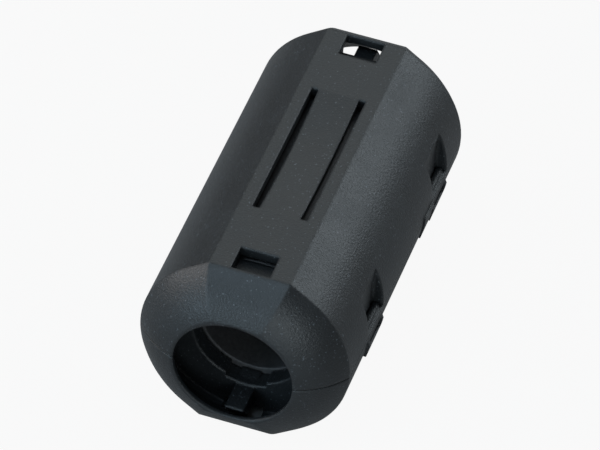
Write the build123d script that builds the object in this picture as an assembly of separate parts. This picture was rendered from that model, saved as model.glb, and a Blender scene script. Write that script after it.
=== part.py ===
from build123d import *
import os
from math import acos, atan2, cos, degrees, hypot, pi, radians, sin

os.makedirs("parts", exist_ok=True)

# Clip-on ferrite for a round cable: a black moulded case in two hinged halves with a ferrite half ring in each.
# Frame: origin on the cable axis at mid-length, +X along the cable, +Y to the latch side, +Z up through the
# upper half. The halves part at z = 0. All sizes in millimetres.

# Case, outside
case_half_length = 20.3
case_radius = 10.0
flat_depth = 0.5
flat_half_width = 3.85
dome_length = 3.4
dome_start_slope = 30.6
rim_radius = 6.0
cable_hole_radius = 5.7
parting_gap = 0.1

# Case, inside
side_wall = 1.75
roof_wall = 1.0
roof_half_width = 3.0
rib_thickness = 1.7
rib_radius = 5.3
rib_slot_clearance = 0.1
dome_wall = 1.15
dome_end_wall = 0.45

# Ferrite half rings
core_bore_radius = 5.1
core_side_clearance = 0.15
core_end_clearance = 0.15
core_inset = 6.45

# Leaf springs in the two flats
leaf_half_length = 8.55
leaf_half_width = 1.96
leaf_slit = 0.66
leaf_thickness = 0.7
leaf_lift = 0.1

# Windows in the flats, and the finger under each one
window_inset = 3.55
window_length = 2.8
window_half_width = 1.84
finger_half_width = 0.9
finger_height = 1.9
finger_end_clearance = 0.1

# Latches on the +Y side
latch_centres = (9.2, -10.1)
latch_width = 4.4
latch_pocket_depth = 1.05
latch_pocket_top = 4.5
tongue_thickness = 0.5
tongue_side_gap = 0.5
latch_slot_margin = 0.2
latch_slot_top = 3.4
tongue_drop = 1.75
barb_height = 0.7
barb_depth = 0.4
keeper_clearance = 0.12
keeper_top = 0.35
keeper_bar = 0.5
keeper_slope_end = 1.5
keeper_drop = 1.15
keeper_proud = 0.27
keeper_below = 2.65
window_below_barb = 0.25
stop_pad_length = 2.6
stop_pad_proud = 0.16

# Living hinge on the -Y side
hinge_web_centres = (9.65, -9.65)
hinge_web_length = 6.0
hinge_web_thickness = 0.25
hinge_fold_radius = 0.05
hinge_seat_depth = 0.4
hinge_proud = 0.25
hinge_notch_half_height = 0.75
hinge_end_clearance = 0.1
hinge_axis_proud = 0.2

# Worked out from the sizes above
flat_height = case_radius - flat_depth
dome_start = case_half_length - dome_length
window_outer_end = case_half_length - window_inset
latch_pocket_y = case_radius - latch_pocket_depth
core_half_length = case_half_length - core_inset
core_radius = case_radius - side_wall - core_side_clearance
cavity_radius = case_radius - side_wall
cavity_half_length = core_half_length + core_end_clearance
rib_end = cavity_half_length + rib_thickness
roof_height = flat_height - roof_wall
rib_slot_half_width = window_half_width + rib_slot_clearance
tongue_half_width = latch_width / 2 - latch_slot_margin - tongue_side_gap
corner_radius = hypot(flat_half_width, flat_height)
facet_angle = degrees(atan2(flat_half_width, flat_height) + acos(case_radius / corner_radius))
reach = 2 * case_radius


def box_between(low, high):
    """A plain block from its lowest corner to its highest corner."""
    size = [high[i] - low[i] for i in range(3)]
    centre = [(high[i] + low[i]) / 2 for i in range(3)]
    return Pos(*centre) * Box(*size)


def rod(radius, half_length):
    """A round bar along the cable axis, centred on the origin."""
    return Rot(0, 90, 0) * Cylinder(radius, 2 * half_length)


def dome_arc(radius, end_radius):
    """The dome's outline from its crease to the rim, as points of an arc: start, middle and end."""
    run = case_half_length - dome_start
    fall = radius - end_radius
    chord = hypot(run, fall)
    chord_angle = atan2(fall, run)
    half_turn = chord_angle - radians(dome_start_slope)
    arc_radius = chord / (2 * sin(half_turn))
    bulge = arc_radius * (1 - cos(half_turn))
    middle_x = dome_start + run / 2 + bulge * sin(chord_angle)
    middle_r = radius - fall / 2 + bulge * cos(chord_angle)
    return (dome_start, radius), (middle_x, middle_r), (case_half_length, end_radius)


def outline_face(height, end_height):
    """The case's lengthwise outline above the cable axis, in the XZ plane."""
    start, middle, end = dome_arc(height, end_height)
    points = {
        "right": [(x, 0, z) for x, z in (start, middle, end)],
        "left": [(-x, 0, z) for x, z in (start, middle, end)],
    }
    right_end, left_end = (end[0], 0, 0), (-end[0], 0, 0)
    edges = [
        ThreePointArc(*points["right"]),
        Line(points["right"][2], right_end),
        Line(right_end, left_end),
        Line(left_end, points["left"][2]),
        ThreePointArc(*points["left"]),
        Line(points["left"][0], points["right"][0]),
    ]
    return make_face(edges)


def case_cap():
    """The flat with its two slanted facets, as the sector of the case around +Z."""
    scale = flat_height / case_radius
    flat = extrude(outline_face(flat_height, rim_radius * scale), reach, dir=(0, 1, 0), both=True)
    slab = extrude(outline_face(case_radius, rim_radius), reach, dir=(0, 1, 0), both=True)
    spread = radians(facet_angle)
    wedge_points = [(0, 0, 0), (0, reach * sin(spread), reach * cos(spread))]
    wedge_points.append((0, -reach * sin(spread), reach * cos(spread)))
    wedge_face = make_face(Polyline(*wedge_points, close=True))
    wedge = extrude(wedge_face, reach * 2, dir=(1, 0, 0), both=True)
    return flat & (Rot(facet_angle, 0, 0) * slab) & (Rot(-facet_angle, 0, 0) * slab) & wedge


def case_half():
    """The upper half of the case as a solid lump, from the parting plane up."""
    face = outline_face(case_radius, rim_radius)
    side_sweep = 90 - facet_angle
    left_side = revolve(Rot(90, 0, 0) * face, Axis.X, -side_sweep)
    right_side = revolve(Rot(-90, 0, 0) * face, Axis.X, side_sweep)
    return case_cap() + left_side + right_side


def dome_chamber(side):
    """The open space between a rib and the end wall, following the dome from inside."""
    start, middle, end = dome_arc(case_radius - dome_wall, cable_hole_radius)
    shift = -dome_end_wall
    points = [(rib_end, 0, 0), (rib_end, 0, case_radius - dome_wall)]
    points.append((start[0] + shift, 0, start[1]))
    arc_end = (end[0] + shift, 0, end[1])
    edges = [
        Polyline(*points),
        ThreePointArc(points[-1], (middle[0] + shift, 0, middle[1]), arc_end),
        Polyline(arc_end, (arc_end[0], 0, 0), points[0]),
    ]
    chamber = revolve(make_face(edges), Axis.X, 360)
    return chamber if side > 0 else mirror(chamber, about=Plane.YZ)


def finger(side):
    """The finger that reaches in from the end wall under the window and holds the core's end."""
    top = cavity_radius - 0.6
    root = case_half_length - dome_wall * 1.2
    tip = core_half_length + finger_end_clearance
    tip_low = core_bore_radius + 0.3
    points = [
        (tip, 0, tip_low),
        (tip, 0, tip_low + finger_height),
        (rib_end, 0, top),
        (root - 1.2, 0, top),
        (root, 0, rim_radius),
        (root, 0, cable_hole_radius + 0.15),
        (rib_end, 0, cable_hole_radius + 0.15),
    ]
    shape = extrude(make_face(Polyline(*points, close=True)), finger_half_width, dir=(0, 1, 0), both=True)
    return shape if side > 0 else mirror(shape, about=Plane.YZ)


def leaf():
    """The leaf spring: a strip of the flat, bowed inwards until it just clears the core."""
    sag = flat_height - leaf_thickness - core_radius - leaf_lift
    ends = (leaf_half_length, -leaf_half_length)
    inner_top = flat_height - leaf_thickness
    edges = [
        ThreePointArc((ends[1], 0, flat_height), (0, 0, flat_height - sag), (ends[0], 0, flat_height)),
        Line((ends[0], 0, flat_height), (ends[0], 0, inner_top)),
        ThreePointArc((ends[0], 0, inner_top), (0, 0, inner_top - sag), (ends[1], 0, inner_top)),
        Line((ends[1], 0, inner_top), (ends[1], 0, flat_height)),
    ]
    return extrude(make_face(edges), leaf_half_width, dir=(0, 1, 0), both=True)


def hollow_half():
    """The upper half of the case without its latches: hollow, with ribs, fingers, leaf and windows."""
    shell = case_half()
    shell -= rod(cavity_radius, cavity_half_length)
    shell -= box_between(
        (-cavity_half_length, -roof_half_width, 0), (cavity_half_length, roof_half_width, roof_height)
    )
    shell -= rod(cable_hole_radius, case_half_length + 1)
    opening = leaf_half_width + leaf_slit
    shell -= box_between(
        (-leaf_half_length, -opening, roof_height - 1), (leaf_half_length, opening, flat_height + 1)
    )
    for side in (1, -1):
        shell -= dome_chamber(side)
        rib_low, rib_high = sorted((side * cavity_half_length, side * rib_end))
        rib = Pos((rib_low + rib_high) / 2, 0, 0) * rod(cavity_radius + 0.5, rib_thickness / 2)
        rib -= rod(rib_radius, case_half_length)
        rib -= box_between(
            (rib_low - 1, -rib_slot_half_width, -reach), (rib_high + 1, rib_slot_half_width, reach)
        )
        shell += rib & box_between((rib_low, -reach, 0), (rib_high, reach, reach))
        window_ends = sorted((side * window_outer_end, side * (window_outer_end - window_length)))
        shell -= box_between(
            (window_ends[0], -window_half_width, core_radius),
            (window_ends[1], window_half_width, flat_height + 1),
        )
        shell += finger(side)
    shell += leaf()
    shell -= hinge_notches()
    shell -= box_between((-reach * 2, -reach, -reach), (reach * 2, reach, parting_gap / 2))
    return shell


def hinge_notches():
    """Shallow seats for the hinge webs across the parting line."""
    notches = []
    for centre in hinge_web_centres:
        half = hinge_web_length / 2 + hinge_end_clearance
        notches.append(
            box_between(
                (centre - half, -reach, -hinge_notch_half_height),
                (centre + half, -case_radius + hinge_seat_depth, hinge_notch_half_height),
            )
        )
    return Compound(notches)


def latch_pocket(centre):
    """The space cut in the upper half's side above a latch, with the slot that frees its tongue."""
    half = latch_width / 2
    pocket = box_between((centre - half, latch_pocket_y, -1), (centre + half, reach, latch_pocket_top))
    slot = half - latch_slot_margin
    inside = latch_pocket_y - tongue_thickness - side_wall
    return pocket + box_between((centre - slot, inside, -1), (centre + slot, reach, latch_slot_top))


def latch_tongue(centre):
    """The tongue of the upper half that dips behind the lower half's keeper, with its barb."""
    inner = latch_pocket_y - tongue_thickness
    tip = -tongue_drop
    points = [
        (0, inner, latch_pocket_top),
        (0, inner, tip),
        (0, latch_pocket_y + barb_depth * 0.3, tip),
        (0, latch_pocket_y + barb_depth, tip + barb_height * 0.6),
        (0, latch_pocket_y + barb_depth, tip + barb_height),
        (0, latch_pocket_y, tip + barb_height),
        (0, latch_pocket_y, latch_pocket_top),
    ]
    profile = make_face(Polyline(*points, close=True))
    return Pos(centre, 0, 0) * extrude(profile, tongue_half_width, dir=(1, 0, 0), both=True)


def latch_room(centre):
    """The room that the tongue needs inside the lower half, and the window that its barb shows in."""
    half = tongue_half_width + keeper_clearance
    behind = latch_pocket_y - tongue_thickness - keeper_clearance
    front = latch_pocket_y + keeper_clearance
    bottom = -tongue_drop - window_below_barb
    room = box_between((centre - half, behind, bottom), (centre + half, front, 1))
    window_top = keeper_top - keeper_drop - parting_gap
    return room + box_between((centre - half, behind, bottom), (centre + half, reach, window_top))


def keeper(centre):
    """The raised pad on the lower half whose upper bar holds the barb down."""
    half = latch_width / 2 - keeper_clearance
    lump = Pos(centre, 0, 0) * rod(case_radius + keeper_proud, half)
    back = latch_pocket_y + keeper_clearance
    points = [
        (0, back, -keeper_below),
        (0, back, keeper_top),
        (0, back + keeper_bar, keeper_top),
        (0, case_radius + keeper_proud, -keeper_slope_end),
        (0, reach, -keeper_slope_end),
        (0, reach, -keeper_below),
    ]
    profile = make_face(Polyline(*points, close=True))
    return lump & (Pos(centre, 0, 0) * extrude(profile, half, dir=(1, 0, 0), both=True))


def stop_pad():
    """The lower, thinner pad beside the rear keeper."""
    start = latch_centres[1] + latch_width / 2 - keeper_clearance
    pad = Pos(start + stop_pad_length / 2, 0, 0) * rod(case_radius + stop_pad_proud, stop_pad_length / 2)
    pad -= rod(cavity_radius + 0.3, case_half_length)
    return pad & box_between(
        (start, latch_pocket_y, -keeper_below), (start + stop_pad_length, reach, -parting_gap / 2)
    )


def upper_shell():
    """The upper half with its pockets and latch tongues."""
    shell = hollow_half()
    for centre in latch_centres:
        shell -= latch_pocket(centre)
        shell += latch_tongue(centre)
    return shell


def lower_shell():
    """The lower half with its keepers, and room behind them for the tongues."""
    shell = mirror(hollow_half(), about=Plane.XY)
    for centre in latch_centres:
        shell += keeper(centre)
    shell += stop_pad()
    for centre in latch_centres:
        shell -= latch_room(centre)
    return shell


def ferrite_half():
    """The upper half of the ferrite ring."""
    ring = rod(core_radius, core_half_length) - rod(core_bore_radius, core_half_length + 1)
    return ring & box_between((-reach, -reach, 0), (reach, reach, reach))


def hinge_web(centre):
    """One strip of the living hinge, folded into a tight U with the case shut."""
    outer = hinge_fold_radius + hinge_web_thickness
    seat = -case_radius + hinge_seat_depth
    fold = -case_radius - hinge_proud + outer
    edges = [
        Line((0, seat, outer), (0, fold, outer)),
        ThreePointArc((0, fold, outer), (0, fold - outer, 0), (0, fold, -outer)),
        Line((0, fold, -outer), (0, seat, -outer)),
        Line((0, seat, -outer), (0, seat, -hinge_fold_radius)),
        Line((0, seat, -hinge_fold_radius), (0, fold, -hinge_fold_radius)),
        ThreePointArc(
            (0, fold, -hinge_fold_radius), (0, fold - hinge_fold_radius, 0), (0, fold, hinge_fold_radius)
        ),
        Line((0, fold, hinge_fold_radius), (0, seat, hinge_fold_radius)),
        Line((0, seat, hinge_fold_radius), (0, seat, outer)),
    ]
    return Pos(centre, 0, 0) * extrude(make_face(edges), hinge_web_length / 2, dir=(1, 0, 0), both=True)


export_step(upper_shell(), "parts/upper_shell.step")
export_step(lower_shell(), "parts/lower_shell.step")
export_step(ferrite_half(), "parts/upper_core.step")
export_step(mirror(ferrite_half(), about=Plane.XY), "parts/lower_core.step")
export_step(hinge_web(hinge_web_centres[0]), "parts/hinge_web_front.step")
export_step(hinge_web(hinge_web_centres[1]), "parts/hinge_web_rear.step")

web_midline = 2 * (hinge_proud + hinge_seat_depth - hinge_fold_radius - hinge_web_thickness)
web_midline += pi * (hinge_fold_radius + hinge_web_thickness / 2)
print("hinge web, flattened length", round(web_midline, 2))
print("hinge seats apart when open", round(2 * (hinge_seat_depth + hinge_axis_proud), 2))
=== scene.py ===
# %% [markdown]
# # A clip-on ferrite, from bare parts to a finished picture
# The case is one black nylon moulding: two halves joined by a thin hinge that bends, with a ferrite half
# ring in each half. The parts and their sizes are ready in the frame. What is left is the finish of every
# surface, the bending strips of the hinge, and the light and camera.

# %% Load the frame
import bpy
from math import cos, pi, radians, sin
from mathutils import Matrix, Vector


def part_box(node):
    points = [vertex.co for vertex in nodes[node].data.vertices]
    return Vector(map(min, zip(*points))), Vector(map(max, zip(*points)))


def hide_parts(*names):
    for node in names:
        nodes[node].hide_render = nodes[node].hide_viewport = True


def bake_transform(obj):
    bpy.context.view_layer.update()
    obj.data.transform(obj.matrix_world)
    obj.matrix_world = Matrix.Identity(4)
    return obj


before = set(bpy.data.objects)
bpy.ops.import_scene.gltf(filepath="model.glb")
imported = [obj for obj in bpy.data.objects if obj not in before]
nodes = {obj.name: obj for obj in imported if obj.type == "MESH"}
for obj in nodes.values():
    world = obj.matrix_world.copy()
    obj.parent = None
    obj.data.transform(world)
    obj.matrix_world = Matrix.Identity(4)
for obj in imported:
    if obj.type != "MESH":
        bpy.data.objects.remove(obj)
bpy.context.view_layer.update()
MM = 0.001
print("nodes:", sorted(nodes))


# %% [markdown]
# ## Helpers
# Operators act on everything that is selected, so each step starts with nothing selected. A material is a
# small graph of nodes, and three little functions keep its cells short: one makes the material with its
# shader, one adds a node with its settings, and one wires two sockets.

# %% Helpers for meshes
def deselect_all():
    if bpy.context.object and bpy.context.object.mode != "OBJECT":
        bpy.ops.object.mode_set(mode="OBJECT")
    bpy.ops.object.select_all(action="DESELECT")


def finish_mesh(piece, name):
    """Names a piece, puts its place into its mesh, and welds and turns its faces outward."""
    piece.name = piece.data.name = name
    deselect_all()
    piece.select_set(True)
    bpy.context.view_layer.objects.active = piece
    bpy.ops.object.transform_apply(location=True, rotation=True, scale=True)
    bpy.ops.object.mode_set(mode="EDIT")
    bpy.ops.mesh.select_all(action="SELECT")
    bpy.ops.mesh.remove_doubles(threshold=1e-6)
    bpy.ops.mesh.normals_make_consistent(inside=False)
    bpy.ops.object.mode_set(mode="OBJECT")
    print(name, len(piece.data.polygons), "faces")


# %% Helpers for materials
# A mix node has one set of sockets for each kind of value, so its colour sockets are found by number.
MIX_FACTOR, MIX_COLOUR_A, MIX_COLOUR_B, MIX_COLOUR_OUT = 0, 6, 7, 2


def new_material(name, colour, roughness):
    """A material with its shader's colour and roughness set; returns its tree and shader too."""
    material = bpy.data.materials.new(name)
    material.use_nodes = True
    tree = material.node_tree
    shader = tree.nodes["Principled BSDF"]
    shader.inputs["Base Color"].default_value = (*colour, 1)
    shader.inputs["Roughness"].default_value = roughness
    return material, tree, shader


def add_node(tree, kind, inputs=None, **settings):
    """Adds a node, with its settings and its unlinked input values."""
    node = tree.nodes.new(kind)
    for key, value in settings.items():
        setattr(node, key, value)
    for key, value in (inputs or {}).items():
        node.inputs[key].default_value = value
    return node


def link(tree, source, out, target, into):
    tree.links.new(source.outputs[out], target.inputs[into])


def spread(tree, source, out, low, high, from_low=0.0, from_high=1.0):
    """Maps a 0 to 1 pattern to the range a surface really varies over."""
    node = add_node(tree, "ShaderNodeMapRange")
    node.inputs["From Min"].default_value = from_low
    node.inputs["From Max"].default_value = from_high
    node.inputs["To Min"].default_value = low
    node.inputs["To Max"].default_value = high
    link(tree, source, out, node, "Value")
    return node


def two_tone(tree, shader, pattern, out, dark, light):
    """Drives the base colour between two near shades by a pattern."""
    ramp = add_node(tree, "ShaderNodeValToRGB")
    ramp.color_ramp.elements[0].position = 0.35
    ramp.color_ramp.elements[0].color = (*dark, 1)
    ramp.color_ramp.elements[1].position = 0.7
    ramp.color_ramp.elements[1].color = (*light, 1)
    link(tree, pattern, out, ramp, "Fac")
    link(tree, ramp, "Color", shader, "Base Color")
    return ramp


# %% [markdown]
# ## The case's plastic
# The mould was spark eroded, which leaves a fine even grain in the nylon. The grain scatters the light, so
# black plastic shows a soft grey sheen. A few tiny light specks are painted into the colour as painted
# glints, where a grain would catch the light. Three scales of noise do this: the grain for the bump, a wide
# one for slight changes of gloss, and sparse specks for the painted glints. Edges on a moulding are never
# knife sharp, so a bevel node rounds the normals at each edge.

# %% Case plastic
GRAIN_SCALE = 5200
CLOUD_SCALE = 160
GLINT_SPECK_SCALE = 4200
# Colour of the painted glints: light specks painted into the base colour where a grain would catch the
# light.
GLINT_SPECK_COLOUR = (0.08, 0.09, 0.10, 1)
EDGE_ROUND = 0.4 * MM


def grained_plastic(name, dark, light, gloss_low, gloss_high, grain_depth):
    material, tree, shader = new_material(name, light, gloss_high)
    shader.inputs["Specular IOR Level"].default_value = 0.55
    place = add_node(tree, "ShaderNodeTexCoord")
    grain = add_node(tree, "ShaderNodeTexNoise", {"Scale": GRAIN_SCALE, "Detail": 2.0, "Roughness": 0.6})
    cloud = add_node(tree, "ShaderNodeTexNoise", {"Scale": CLOUD_SCALE, "Detail": 4.0, "Roughness": 0.55})
    glint_speck = add_node(tree, "ShaderNodeTexNoise", {"Scale": GLINT_SPECK_SCALE, "Detail": 1.0})
    for pattern in (grain, cloud, glint_speck):
        link(tree, place, "Object", pattern, "Vector")
    ramp = two_tone(tree, shader, cloud, "Fac", dark, light)
    # Mask of the sparse painted glint specks, mixed into the base colour.
    painted_glint_mask = spread(tree, glint_speck, "Fac", 0.0, 1.0, 0.67, 0.76)
    painted_glint_mix = add_node(tree, "ShaderNodeMix", data_type="RGBA")
    painted_glint_mix.inputs[MIX_COLOUR_B].default_value = GLINT_SPECK_COLOUR
    link(tree, painted_glint_mask, "Result", painted_glint_mix, MIX_FACTOR)
    link(tree, ramp, "Color", painted_glint_mix, MIX_COLOUR_A)
    link(tree, painted_glint_mix, MIX_COLOUR_OUT, shader, "Base Color")
    gloss = spread(tree, cloud, "Fac", gloss_low, gloss_high, 0.3, 0.7)
    link(tree, gloss, "Result", shader, "Roughness")
    edge = add_node(tree, "ShaderNodeBevel", {"Radius": EDGE_ROUND}, samples=6)
    bump = add_node(tree, "ShaderNodeBump", {"Strength": 0.8, "Distance": grain_depth})
    link(tree, edge, "Normal", bump, "Normal")
    link(tree, grain, "Fac", bump, "Height")
    link(tree, bump, "Normal", shader, "Normal")
    return material


case_plastic = grained_plastic(
    "case_plastic", (0.0105, 0.0120, 0.0132), (0.0165, 0.0190, 0.0208), 0.36, 0.45, 0.06 * MM
)
print("case plastic ready")

# %% [markdown]
# ## The ferrite
# Ferrite is pressed powder fired like pottery: dark grey, slightly metallic, with a fine gritty skin and
# pores. The same kind of graph serves, with a coarser grit and darker pits.

# %% Ferrite
FERRITE_GRIT = 3000
FERRITE_PITS = 900
FERRITE_EDGE = 0.28 * MM


def sintered_ferrite():
    material, tree, shader = new_material("sintered_ferrite", (0.06, 0.06, 0.063), 0.5)
    shader.inputs["Metallic"].default_value = 0.25
    place = add_node(tree, "ShaderNodeTexCoord")
    grit = add_node(tree, "ShaderNodeTexNoise", {"Scale": FERRITE_GRIT, "Detail": 4.0, "Roughness": 0.7})
    pits = add_node(tree, "ShaderNodeTexVoronoi", {"Scale": FERRITE_PITS})
    for pattern in (grit, pits):
        link(tree, place, "Object", pattern, "Vector")
    two_tone(tree, shader, grit, "Fac", (0.045, 0.045, 0.047), (0.085, 0.084, 0.086))
    gloss = spread(tree, grit, "Fac", 0.42, 0.62, 0.3, 0.7)
    link(tree, gloss, "Result", shader, "Roughness")
    pit_depth = spread(tree, pits, "Distance", 0.0, 1.0, 0.02, 0.2)
    edge = add_node(tree, "ShaderNodeBevel", {"Radius": FERRITE_EDGE}, samples=6)
    grit_bump = add_node(tree, "ShaderNodeBump", {"Strength": 0.5, "Distance": 0.02 * MM})
    pit_bump = add_node(tree, "ShaderNodeBump", {"Strength": 0.4, "Distance": 0.03 * MM})
    link(tree, edge, "Normal", grit_bump, "Normal")
    link(tree, grit, "Fac", grit_bump, "Height")
    link(tree, grit_bump, "Normal", pit_bump, "Normal")
    link(tree, pit_depth, "Result", pit_bump, "Height")
    link(tree, pit_bump, "Normal", shader, "Normal")
    return material


ferrite = sintered_ferrite()

# %% Put the finishes on the parts
def give(node, material):
    node.data.materials.clear()
    node.data.materials.append(material)


for name in ("upper_shell", "lower_shell"):
    give(nodes[name], case_plastic)
for name in ("upper_core", "lower_core"):
    give(nodes[name], ferrite)
print("finishes on", len(nodes), "parts")

# %% [markdown]
# ## The living hinge
# Two thin strips of the same nylon join the halves. With the case shut each one is folded into a tight U in
# its shallow seats, and when the case opens it straightens. A strip could be a bent plane with thickness,
# but a rectangle pulled out, spun half a turn about the fold and pulled back gives one closed solid with
# the fold truly round.

# %% Living hinge strips
FOLD_STEPS = 24
WEB_THICKNESS = 0.25 * MM
WEB_PIECES = 12
WEB_EDGE = 0.04 * MM


def hinge_strip(node_name):
    low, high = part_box(node_name)
    turn_radius = high.z - WEB_THICKNESS / 2
    fold_y = low.y + high.z
    deselect_all()
    bpy.ops.mesh.primitive_grid_add(
        x_subdivisions=WEB_PIECES, y_subdivisions=2, size=1,
        location=((low.x + high.x) / 2, high.y, -turn_radius), rotation=(pi / 2, 0, 0),
    )
    strip = bpy.context.object
    strip.scale = (high.x - low.x, WEB_THICKNESS, 1)
    bpy.ops.object.transform_apply(location=True, rotation=True, scale=True)
    bpy.ops.object.mode_set(mode="EDIT")
    bpy.ops.mesh.select_all(action="SELECT")
    leg = fold_y - high.y
    bpy.ops.mesh.extrude_region_move(TRANSFORM_OT_translate={"value": (0, leg, 0)})
    bpy.ops.mesh.spin(steps=FOLD_STEPS, angle=pi, center=(0, fold_y, 0), axis=(1, 0, 0))
    bpy.ops.mesh.extrude_region_move(TRANSFORM_OT_translate={"value": (0, -leg, 0)})
    bpy.ops.mesh.remove_doubles(threshold=1e-6)
    bpy.ops.mesh.select_all(action="DESELECT")
    bpy.ops.mesh.select_interior_faces()
    bpy.ops.mesh.delete(type="FACE")
    bpy.ops.object.mode_set(mode="OBJECT")
    finish_mesh(strip, node_name.replace("hinge_web", "hinge_strip"))
    soften = strip.modifiers.new("soften", "BEVEL")
    soften.width = WEB_EDGE
    soften.segments = 2
    soften.limit_method = "ANGLE"
    bpy.ops.object.modifier_apply(modifier="soften")
    bpy.ops.object.shade_smooth_by_angle(angle=radians(35))
    give(strip, case_plastic)
    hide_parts(node_name)
    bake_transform(strip)
    return strip


for name in ("hinge_web_front", "hinge_web_rear"):
    strip = hinge_strip(name)
    print(strip.name, [round(1000 * value, 2) for value in strip.dimensions], "mm")

# %% [markdown]
# ## The floor
# A plain pale floor. Seen by the camera, or in a reflection, it glows white on top of its own shading, so
# the background stays white, with only a trace of the shadow below the case. The strip that the case stands
# on gets no glow, so no false light comes up through the windows. This glowless strip is painted shadow
# under the case: there the floor shows only its own dim shading, and the glow fades in at its edge.

# %% Floor
FLOOR_SIZE = 4
FLOOR_WHITE = 0.93
# The painted shadow patch under the case: where the glow starts and ends, in units of the patch's reach
# along and across the case.
SHADOW_PATCH_LOW = 0.945
SHADOW_PATCH_HIGH = 1.0
SHADOW_PATCH_REACH = (17.2 * MM, 3.0 * MM)
MIRRORED_WHITE = 0.1


def white_floor():
    material, tree, shader = new_material("white_floor", (0.3, 0.3, 0.3), 0.9)
    shader.inputs["Specular IOR Level"].default_value = 0.1
    glow = add_node(tree, "ShaderNodeEmission", {"Color": (1, 1, 1, 1), "Strength": 1.0})
    path = add_node(tree, "ShaderNodeLightPath")
    place = add_node(tree, "ShaderNodeTexCoord")
    shrink = add_node(tree, "ShaderNodeVectorMath", operation="MULTIPLY")
    shrink.inputs[1].default_value = (1 / SHADOW_PATCH_REACH[0], 1 / SHADOW_PATCH_REACH[1], 0)
    link(tree, place, "Object", shrink, 0)
    unsigned = add_node(tree, "ShaderNodeVectorMath", operation="ABSOLUTE")
    link(tree, shrink, "Vector", unsigned, 0)
    axes = add_node(tree, "ShaderNodeSeparateXYZ")
    link(tree, unsigned, "Vector", axes, "Vector")
    away = add_node(tree, "ShaderNodeMath", operation="MAXIMUM")
    link(tree, axes, "X", away, 0)
    link(tree, axes, "Y", away, 1)
    # Painted shadow under the case: no glow inside the patch, fading in to full glow at its edge.
    glow_outside_shadow_patch = spread(tree, away, "Value", 0.0, FLOOR_WHITE, SHADOW_PATCH_LOW, SHADOW_PATCH_HIGH)
    dimmed = add_node(tree, "ShaderNodeMath", operation="MULTIPLY")
    link(tree, path, "Is Glossy Ray", dimmed, 0)
    dimmed.inputs[1].default_value = MIRRORED_WHITE
    mirrored = add_node(tree, "ShaderNodeMath", operation="MAXIMUM")
    link(tree, dimmed, "Value", mirrored, 0)
    link(tree, path, "Is Transmission Ray", mirrored, 1)
    camera_or_mirror = add_node(tree, "ShaderNodeMath", operation="MAXIMUM")
    link(tree, path, "Is Camera Ray", camera_or_mirror, 0)
    link(tree, mirrored, "Value", camera_or_mirror, 1)
    seen = add_node(tree, "ShaderNodeMath", operation="MULTIPLY")
    blend = add_node(tree, "ShaderNodeMixShader")
    link(tree, camera_or_mirror, "Value", seen, 0)
    link(tree, glow_outside_shadow_patch, "Result", seen, 1)
    link(tree, seen, "Value", blend, "Fac")
    tree.links.new(shader.outputs["BSDF"], blend.inputs[1])
    tree.links.new(glow.outputs["Emission"], blend.inputs[2])
    link(tree, blend, "Shader", tree.nodes["Material Output"], "Surface")
    return material


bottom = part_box("lower_shell")[0].z
deselect_all()
bpy.ops.mesh.primitive_plane_add(size=FLOOR_SIZE, location=(0, 0, bottom))
floor = bpy.context.object
floor.name = "floor"
give(floor, white_floor())
print("floor at", round(bottom * 1000, 2), "mm")

# %% [markdown]
# ## Light
# Black plastic is drawn by what it reflects. A broad soft lamp behind the case lights the flat, one behind
# on the right lights the slanted facet, and one low on the left lights the round side. Three cooler or
# smaller ones in front and above give the sheen on the dome and reach into the bore. The right side sees
# little light. Each lamp is placed by its direction from the case.

# %% Lamps and world
LAMP_DISTANCE = 0.8
WORLD_STRENGTH = 0.13


def soft_lamp(name, direction, size, power, colour):
    deselect_all()
    place = Vector(direction).normalized() * LAMP_DISTANCE
    bpy.ops.object.light_add(type="AREA", location=place)
    lamp = bpy.context.object
    lamp.name = name
    lamp.data.shape = "SQUARE"
    lamp.data.size = size
    lamp.data.energy = power
    lamp.data.color = colour
    lamp.rotation_euler = place.to_track_quat("Z", "Y").to_euler()
    print(name, "at", [round(value, 2) for value in place], "m")
    return lamp


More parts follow.
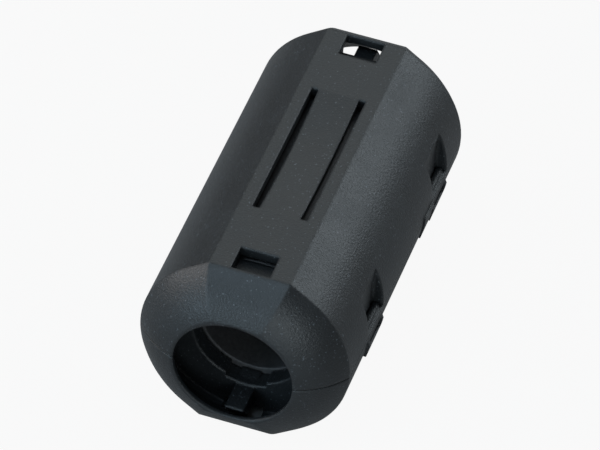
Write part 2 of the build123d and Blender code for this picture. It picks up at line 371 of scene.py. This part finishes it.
soft_lamp("back_softbox", (-0.70, -0.19, 0.69), 0.75, 1.7, (0.90, 0.98, 1.0))
soft_lamp("right_softbox", (-0.72, 0.58, 0.42), 0.36, 1.6, (0.82, 0.93, 1.0))
soft_lamp("left_softbox", (0.10, -0.90, 0.35), 0.5, 2.3, (1.0, 0.98, 0.98))
soft_lamp("front_softbox", (0.80, -0.52, 0.30), 0.45, 2.5, (0.62, 0.84, 1.0))
soft_lamp("top_softbox", (0.38, -0.18, 0.90), 0.5, 1.8, (0.62, 0.83, 1.0))
soft_lamp("bore_softbox", (0.88, 0.40, 0.24), 0.3, 1.5, (0.84, 0.95, 1.0))

world = bpy.data.worlds.new("studio")
bpy.context.scene.world = world
world.use_nodes = True
background = world.node_tree.nodes["Background"]
background.inputs["Color"].default_value = (1, 1, 1, 1)
background.inputs["Strength"].default_value = WORLD_STRENGTH

# %% [markdown]
# ## Camera
# A long lens from above the front end, far enough away that the case hardly tapers. Its direction is given
# by two angles round the case and a slight roll, so that the picture can be set up with a turntable in
# mind.

# %% Camera
VIEW_AZIMUTH = radians(15.43)
VIEW_ELEVATION = radians(43.75)
VIEW_ROLL = radians(4.49)
VIEW_DISTANCE = 503.1 * MM
VIEW_TARGET = Vector((-0.08, -0.40, 0.18)) * MM
LENS = 326.2

toward_camera = Vector(
    (cos(VIEW_ELEVATION) * cos(VIEW_AZIMUTH), cos(VIEW_ELEVATION) * sin(VIEW_AZIMUTH), sin(VIEW_ELEVATION))
)
level = Vector((0, 0, 1)).cross(toward_camera).normalized()
right = Matrix.Rotation(VIEW_ROLL, 3, toward_camera) @ level
up = toward_camera.cross(right)
turn = Matrix((right, up, toward_camera)).transposed()
deselect_all()
bpy.ops.object.camera_add(location=VIEW_TARGET + toward_camera * VIEW_DISTANCE, rotation=turn.to_euler())
camera = bpy.context.object
camera.data.lens = LENS
camera.data.sensor_width = 36
camera.data.clip_start = 0.01
bpy.context.scene.camera = camera
bpy.context.scene.view_settings.view_transform = "Standard"
print("camera at", [round(value, 3) for value in camera.location], "m")
